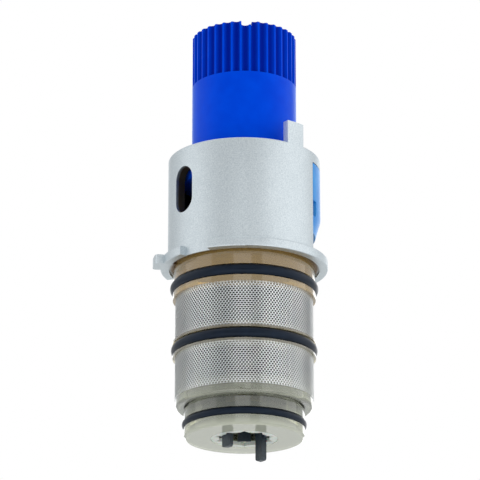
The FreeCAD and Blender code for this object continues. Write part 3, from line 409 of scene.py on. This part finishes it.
# ---- Screens ---------------------------------------------------------------------------------------------------------
# Two sleeves of thin stainless sheet keep grit out of the cold and the hot inlet. Staggered round holes are etched
# through, and each sleeve is rolled, butted and slipped into its channel in the clear body.
stainless = new_material("Stainless_sheet_etched")
tree = stainless.node_tree
place = add(tree, "ShaderNodeTexCoord")
# Rolling grain of about 0.2 mm, and tarnish clouds of about 4 mm.
rolled = add(tree, "ShaderNodeTexNoise", {"Vector": place.outputs["Object"], "Scale": 5000.0, "Detail": 2.0})
tarnish = add(tree, "ShaderNodeTexNoise", {"Vector": place.outputs["Object"], "Scale": 250.0, "Detail": 2.0})
tone = add(tree, "ShaderNodeValToRGB", {"Fac": tarnish.outputs["Fac"]})
tone.color_ramp.elements[0].position, tone.color_ramp.elements[0].color = 0.3, linear("#F0F3F4")
tone.color_ramp.elements[1].position, tone.color_ramp.elements[1].color = 0.7, linear("#FBFCFB")
grain = add(tree, "ShaderNodeBump", {"Height": rolled.outputs["Fac"], "Strength": 0.15, "Distance": 0.00002})
shader = add(tree, "ShaderNodeBsdfPrincipled", {"Base Color": tone.outputs["Color"], "Metallic": 1.0,
                                               "Roughness": 0.30, "Normal": grain.outputs["Normal"]})
add(tree, "ShaderNodeOutputMaterial", {"Surface": shader.outputs["BSDF"]})

SCREEN_COLUMNS = 133
SCREEN_OUTSIDE = 0.01625
SCREEN_SHEET = 0.0003
SCREEN_ROW = 0.000495
SCREEN_RIM = 0.00004
HOLE_ACROSS = 0.00058
HOLE_INSIDE = 0.00062
HOLE_SIDES = 8
WELD = 0.000004
column_pitch = math.tau * SCREEN_OUTSIDE / SCREEN_COLUMNS


def sheet_cell(name, height, holed):
    """One cell of the flattened sheet, facing +X and centred on Y and Z, with an eight-sided hole or none.

    Its points are the front's border and hole, then the back's, so a hole's ring starts one HOLE_SIDES on.
    """
    half_wide, half_high = column_pitch / 2, height / 2
    inner_wide = half_wide * (SCREEN_OUTSIDE - SCREEN_SHEET) / SCREEN_OUTSIDE
    around = [(1, 0), (1, 1), (0, 1), (-1, 1), (-1, 0), (-1, -1), (0, -1), (1, -1)]
    points, faces = [], []
    for depth, wide, across in ((0.0, half_wide, HOLE_ACROSS), (-SCREEN_SHEET, inner_wide, HOLE_INSIDE)):
        reach = across / 2
        points += [(depth, wide * y, half_high * z) for y, z in around]
        if holed:
            turns = [i * math.tau / HOLE_SIDES for i in range(HOLE_SIDES)]
            points += [(depth, reach * math.cos(turn), reach * math.sin(turn)) for turn in turns]
    if holed:
        for i in range(HOLE_SIDES):
            j = (i + 1) % HOLE_SIDES
            front_hole, back, back_hole = HOLE_SIDES, 2 * HOLE_SIDES, 3 * HOLE_SIDES
            faces += [(i, j, j + front_hole, i + front_hole), (i + back, i + back_hole, j + back_hole, j + back),
                      (i + front_hole, j + front_hole, j + back_hole, i + back_hole)]
    else:
        faces = [tuple(range(HOLE_SIDES)), tuple(reversed(range(HOLE_SIDES, 2 * HOLE_SIDES)))]
    cell = bpy.data.objects.new(name, bpy.data.meshes.new(name))
    cell.data.from_pydata(points, [], faces)
    scene.collection.objects.link(cell)
    return cell


def screen_tree():
    """Sets cells on rows round the axis, every other row half a column on, and joins them to one sleeve."""
    made = bpy.data.node_groups.new("Perforated_sleeve", "GeometryNodeTree")
    made.interface.new_socket("Geometry", in_out="OUTPUT", socket_type="NodeSocketGeometry")
    for name, kind in (("Cell", "NodeSocketObject"), ("Columns", "NodeSocketInt"), ("Rows", "NodeSocketInt"),
                       ("Outside radius", "NodeSocketFloat"), ("Row height", "NodeSocketFloat"),
                       ("Lowest row", "NodeSocketFloat"), ("Sheet", "NodeSocketMaterial")):
        made.interface.new_socket(name, in_out="INPUT", socket_type=kind)
    given = add(made, "NodeGroupInput").outputs
    count = add(made, "ShaderNodeMath", {0: given["Columns"], 1: given["Rows"]}, operation="MULTIPLY")
    number = add(made, "GeometryNodeInputIndex").outputs[0]
    whole = add(made, "ShaderNodeMath", {0: number, 1: given["Columns"]}, operation="DIVIDE")
    row = add(made, "ShaderNodeMath", {0: whole.outputs[0]}, operation="FLOOR").outputs[0]
    column = add(made, "ShaderNodeMath", {0: number, 1: given["Columns"]}, operation="MODULO").outputs[0]
    odd = add(made, "ShaderNodeMath", {0: row, 1: 2.0}, operation="MODULO").outputs[0]
    shifted = add(made, "ShaderNodeMath", {0: odd, 1: 0.5, 2: column}, operation="MULTIPLY_ADD").outputs[0]
    share = add(made, "ShaderNodeMath", {0: shifted, 1: given["Columns"]}, operation="DIVIDE").outputs[0]
    angle = add(made, "ShaderNodeMath", {0: share, 1: math.tau}, operation="MULTIPLY").outputs[0]
    height = add(made, "ShaderNodeMath", {0: row, 1: given["Row height"], 2: given["Lowest row"]},
                 operation="MULTIPLY_ADD").outputs[0]
    turn = add(made, "ShaderNodeCombineXYZ", {"Z": angle}).outputs[0]
    out = add(made, "ShaderNodeCombineXYZ", {"X": given["Outside radius"], "Z": height}).outputs[0]
    there = add(made, "ShaderNodeVectorRotate", {"Vector": out, "Angle": angle}, rotation_type="Z_AXIS")
    points = add(made, "GeometryNodePoints", {"Count": count.outputs[0], "Position": there.outputs[0]})
    cell = add(made, "GeometryNodeObjectInfo", {"Object": given["Cell"]})
    placed = add(made, "GeometryNodeInstanceOnPoints",
                 {"Points": points.outputs[0], "Instance": cell.outputs["Geometry"], "Rotation": turn})
    real = add(made, "GeometryNodeRealizeInstances", {"Geometry": placed.outputs[0]})
    joined = add(made, "GeometryNodeMergeByDistance", {"Geometry": real.outputs[0], "Distance": WELD})
    sheet = add(made, "GeometryNodeSetMaterial", {"Geometry": joined.outputs[0], "Material": given["Sheet"]})
    add(made, "NodeGroupOutput", {"Geometry": sheet.outputs[0]})
    return made


def rolled_part(cell, rows, lowest, row_height):
    """The plain mesh of one run of cells."""
    host = bpy.data.objects.new("screen_host", bpy.data.meshes.new("screen_host"))
    scene.collection.objects.link(host)
    nodes = host.modifiers.new("Sleeve", "NODES")
    nodes.node_group = sleeve_tree
    values = {"Cell": cell, "Columns": SCREEN_COLUMNS, "Rows": rows, "Outside radius": SCREEN_OUTSIDE,
              "Row height": row_height, "Lowest row": lowest, "Sheet": stainless}
    for item in sleeve_tree.interface.items_tree:
        if item.in_out == "INPUT":
            nodes[item.identifier] = values[item.name]
    made = bpy.data.meshes.new_from_object(host.evaluated_get(bpy.context.evaluated_depsgraph_get()))
    bpy.data.objects.remove(host)
    return made


sleeve_tree = screen_tree()
for node, piece_name in (("cold_screen", "cold_screen_sleeve"), ("hot_screen", "hot_screen_sleeve")):
    low, high = (corner.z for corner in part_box(node))
    rows = int((high - low - 2 * SCREEN_RIM) / SCREEN_ROW)
    rim = (high - low - rows * SCREEN_ROW) / 2
    holed = sheet_cell("holed_cell", SCREEN_ROW, True)
    plain = sheet_cell("plain_cell", rim, False)
    parts = [rolled_part(holed, rows, low + rim + SCREEN_ROW / 2, SCREEN_ROW),
             rolled_part(plain, 1, low + rim / 2, rim), rolled_part(plain, 1, high - rim / 2, rim)]
    sleeve = bpy.data.objects.new(piece_name, bpy.data.meshes.new(piece_name))
    scene.collection.objects.link(sleeve)
    form = bmesh.new()
    for part in parts:
        form.from_mesh(part)
        bpy.data.meshes.remove(part)
    bmesh.ops.remove_doubles(form, verts=form.verts, dist=WELD)
    form.to_mesh(sleeve.data)
    form.free()
    sleeve.data.materials.append(stainless)
    sleeve.data.shade_smooth()
    sleeve.data.set_sharp_from_angle(angle=math.radians(30))
    for cell in (holed, plain):
        bpy.data.objects.remove(cell)
    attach(sleeve, "casing")
    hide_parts(node)


# ---- Seals -----------------------------------------------------------------------------------------------------------
# Round rings of black EPDM rubber, moulded and lightly greased, stretched into the grooves of the clear body and the
# end cap. The small ones seal the plunger and the control slide inside.
rubber = new_material("EPDM_rubber_greased")
tree = rubber.node_tree
place = add(tree, "ShaderNodeTexCoord")
# Talc and grease leave streaks of about 2 mm; the moulded skin is about 0.2 mm fine.
streaks = add(tree, "ShaderNodeTexNoise", {"Vector": place.outputs["Object"], "Scale": 500.0, "Detail": 3.0})
skin = add(tree, "ShaderNodeTexNoise", {"Vector": place.outputs["Object"], "Scale": 5000.0, "Detail": 2.0})
tone = add(tree, "ShaderNodeValToRGB", {"Fac": streaks.outputs["Fac"]})
tone.color_ramp.elements[0].position, tone.color_ramp.elements[0].color = 0.35, linear("#0A121E")
tone.color_ramp.elements[1].position, tone.color_ramp.elements[1].color = 0.75, linear("#101A29")
greased = add(tree, "ShaderNodeMapRange", {"Value": streaks.outputs["Fac"], "From Min": 0.3, "From Max": 0.7,
                                          "To Min": 0.28, "To Max": 0.42})
moulded = add(tree, "ShaderNodeBump", {"Height": skin.outputs["Fac"], "Strength": 0.15, "Distance": 0.00003})
shader = add(tree, "ShaderNodeBsdfPrincipled", {"Base Color": tone.outputs["Color"], "IOR": 1.5,
                                               "Roughness": greased.outputs["Result"],
                                               "Specular IOR Level": 0.35, "Specular Tint": linear("#B9CCE6"),
                                               "Normal": moulded.outputs["Normal"]})
add(tree, "ShaderNodeOutputMaterial", {"Surface": shader.outputs["BSDF"]})
for node, slot in (("upper_body_seal", "seal_rubber"), ("middle_body_seal", "seal_rubber"),
                   ("end_cap_seal", "seal_rubber"), ("slide_seal", "inner_seal_rubber"),
                   ("plunger_seal", "inner_seal_rubber")):
    dressed(node, node + "_ring", rubber, sharp=40)


# ---- Thermostatic works ----------------------------------------------------------------------------------------------
# The wax capsule, its steel piston and the slide that it moves between the cold and the hot seat. The slide and the
# retainer are moulded in dark glass-filled polymer, the capsule is turned from brass.
dark_polymer = new_material("PPS_glass_filled_dark")
tree = dark_polymer.node_tree
place = add(tree, "ShaderNodeTexCoord")
# Glass fibres show as flecks of about 0.3 mm.
flecks = add(tree, "ShaderNodeTexNoise", {"Vector": place.outputs["Object"], "Scale": 3300.0, "Detail": 3.0})
tone = add(tree, "ShaderNodeValToRGB", {"Fac": flecks.outputs["Fac"]})
tone.color_ramp.elements[0].position, tone.color_ramp.elements[0].color = 0.35, linear("#1E2830")
tone.color_ramp.elements[1].position, tone.color_ramp.elements[1].color = 0.75, linear("#33424D")
fibrous = add(tree, "ShaderNodeBump", {"Height": flecks.outputs["Fac"], "Strength": 0.2, "Distance": 0.00003})
shader = add(tree, "ShaderNodeBsdfPrincipled", {"Base Color": tone.outputs["Color"], "Roughness": 0.42, "IOR": 1.6,
                                               "Normal": fibrous.outputs["Normal"]})
add(tree, "ShaderNodeOutputMaterial", {"Surface": shader.outputs["BSDF"]})
dressed("control_slide", "control_slide_moulding", dark_polymer)
dressed("seal_retainer", "seal_retainer_ring", dark_polymer)
dressed("wax_capsule", "wax_capsule_turned", brass)
dressed("capsule_piston", "capsule_piston_ground", steel)


# ---- Outlet ----------------------------------------------------------------------------------------------------------
# In the outlet sits the dark moulded spider that guides the capsule, with two tabs that stand out below the face. A
# pale toothed ring in front of it is snapped in and breaks up the flow.
dressed("flow_spider", "flow_spider_moulding", dark_polymer)

pale_acetal = new_material("Acetal_natural_moulded")
tree = pale_acetal.node_tree
place = add(tree, "ShaderNodeTexCoord")
flow = add(tree, "ShaderNodeTexNoise", {"Vector": place.outputs["Object"], "Scale": 700.0, "Detail": 2.0})
tone = add(tree, "ShaderNodeValToRGB", {"Fac": flow.outputs["Fac"]})
tone.color_ramp.elements[0].color = linear("#C4CAC4")
tone.color_ramp.elements[1].color = linear("#D8DED6")
shader = add(tree, "ShaderNodeBsdfPrincipled", {"Base Color": tone.outputs["Color"], "Roughness": 0.40, "IOR": 1.48,
                                               "Subsurface Weight": 0.2, "Subsurface Scale": 0.001})
add(tree, "ShaderNodeOutputMaterial", {"Surface": shader.outputs["BSDF"]})
dressed("outlet_ring", "outlet_ring_moulding", pale_acetal)
